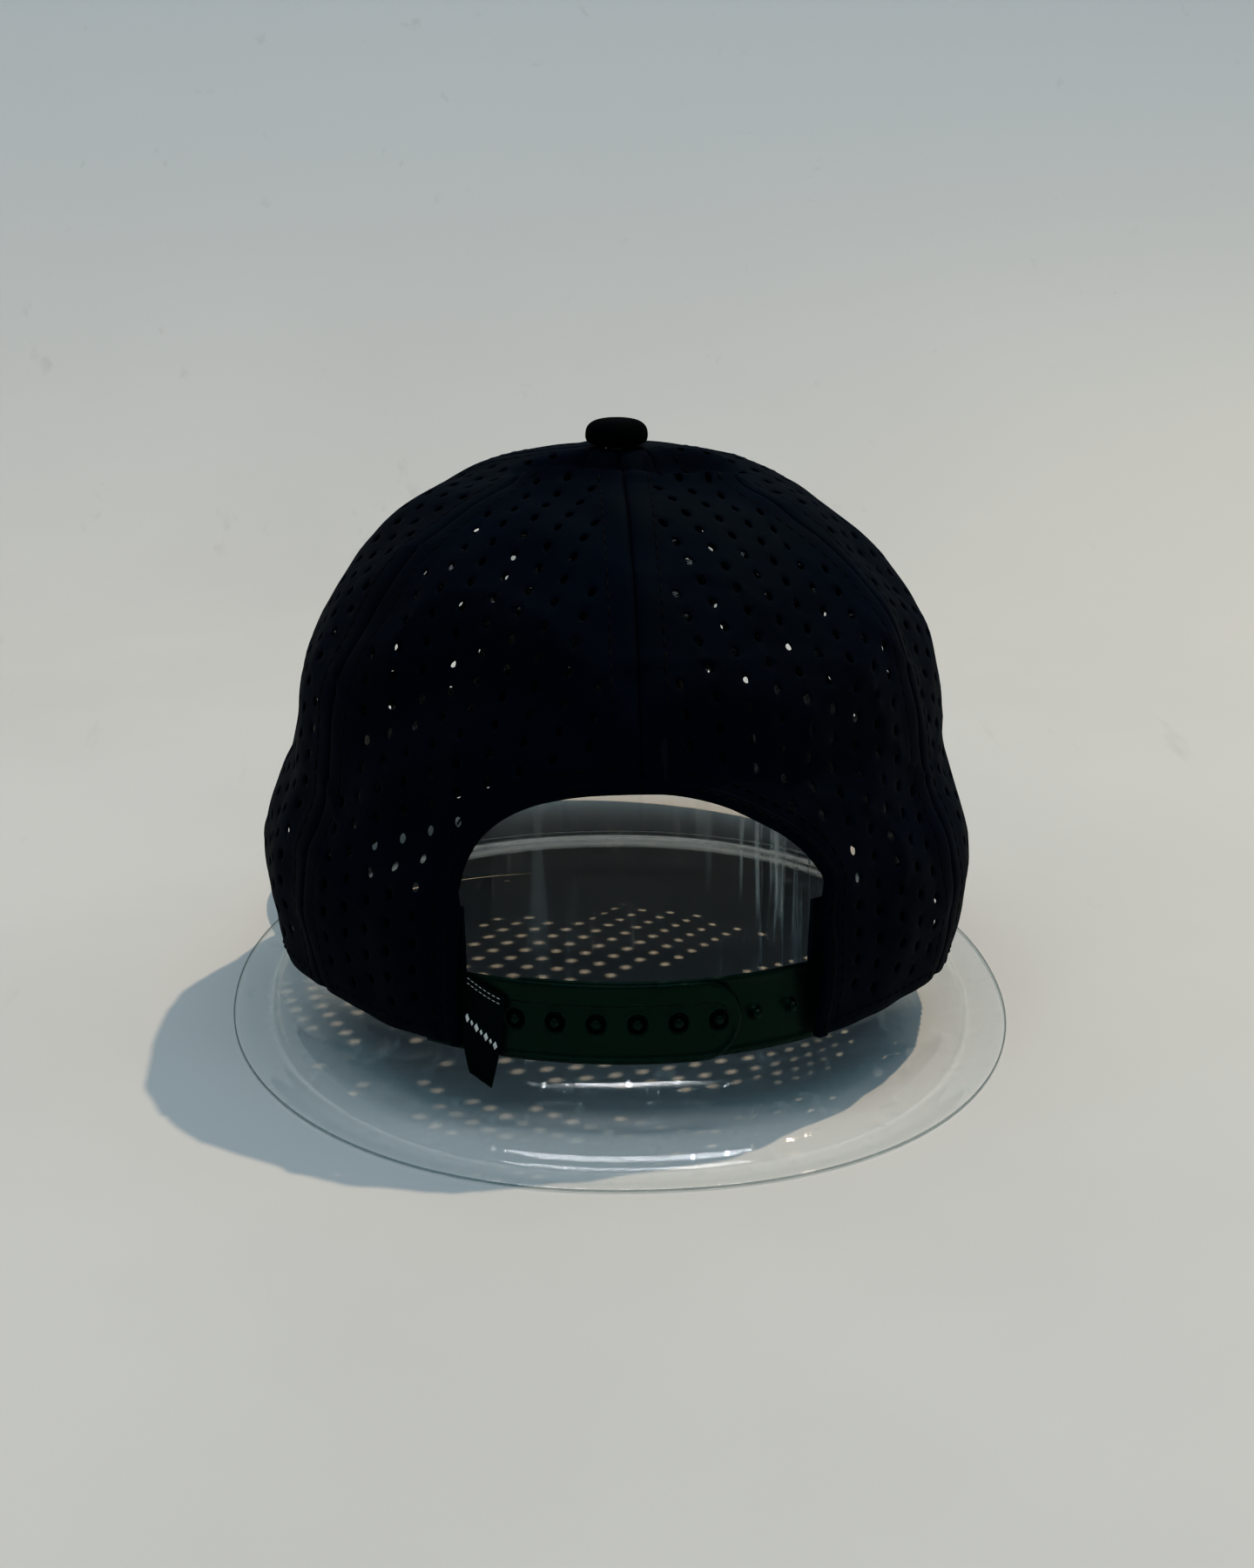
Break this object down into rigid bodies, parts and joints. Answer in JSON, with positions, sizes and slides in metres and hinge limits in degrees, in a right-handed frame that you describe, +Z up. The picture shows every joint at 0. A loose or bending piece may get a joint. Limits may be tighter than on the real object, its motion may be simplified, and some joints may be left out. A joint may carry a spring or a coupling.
{
  "type": "snapback cap",
  "caption": "Perforated panelled cap with a curved bill, snap closure and button, resting on a clear flanged display form.",
  "frame": {"origin": "centre of the footprint of the cap and its form, on the surface the form stands on", "axes": "+Z up; +Y forwards, the way the bill points; +X to the wearer's right"},
  "size_m": [0.2, 0.2974, 0.149],
  "materials": {
    "panel_fabric": "matte",
    "bill_fabric": "matte",
    "lining": "matte",
    "stiffener": "matte",
    "snap_plastic": "satin",
    "label_weave": "satin",
    "label_white": "matte",
    "button_metal": "satin",
    "bill_core": "matte",
    "clear_sheet": "clear, glossy"
  },
  "bodies": {
    "form": {"clear_form": "clear_sheet"},
    "crown": {"back_right_panel": "panel_fabric", "side_right_panel": "panel_fabric", "front_right_panel": "panel_fabric", "front_left_panel": "panel_fabric", "side_left_panel": "panel_fabric", "back_left_panel": "panel_fabric", "buckram_right": "stiffener", "buckram_left": "stiffener", "seam_tape_back": "lining", "seam_tape_back_right": "lining", "seam_tape_front_right": "lining", "seam_tape_front": "lining", "seam_tape_front_left": "lining", "seam_tape_back_left": "lining", "sweatband": "lining", "brow_foam": "stiffener", "inner_label": "label_weave", "arch_binding": "bill_fabric", "button_cover": "panel_fabric", "button_shell": "button_metal", "button_tack": "button_metal", "socket_strap_root": "snap_plastic", "stud_strap_root": "snap_plastic"},
    "bill": {"bill_top_cover": "bill_fabric", "bill_board": "bill_core", "bill_under_cover": "bill_fabric"},
    "socket_strap": {"socket_strap": "snap_plastic"},
    "stud_strap": {"stud_strap": "snap_plastic"},
    "tag": {"tag_label": "label_weave"},
    "care_label": {"care_label": "label_white"}
  },
  "joints": [
    {"name": "cap_lift", "type": "slide", "parent": "form", "child": "crown", "axis": [0, 0, 1], "range_m": [0, 0.15]},
    {"name": "bill_flex", "type": "hinge", "parent": "crown", "child": "bill", "pos_m": [0, 0.04865, 0.034], "axis": [1, 0, 0], "range_deg": [-3, 7], "stiffness_Nm_per_rad": 0.5},
    {"name": "socket_strap_open", "type": "hinge", "parent": "crown", "child": "socket_strap", "pos_m": [-0.041, -0.10925, 0.02705], "axis": [0, 0, -1], "range_deg": [0, 70]},
    {"name": "stud_strap_flex", "type": "hinge", "parent": "crown", "child": "stud_strap", "pos_m": [0.03857, -0.10522, 0.02705], "axis": [0, 0, -1], "range_deg": [0, 4]},
    {"name": "tag_swing", "type": "hinge", "parent": "socket_strap", "child": "tag", "pos_m": [-0.0398, -0.10956, 0.02705], "axis": [0, 0, -1], "range_deg": [0, 45]},
    {"name": "care_label_swing", "type": "hinge", "parent": "crown", "child": "care_label", "pos_m": [-0.07234, -0.05486, 0.0796], "axis": [0.335, -0.9422, 0], "range_deg": [0, 8]}
  ]
}
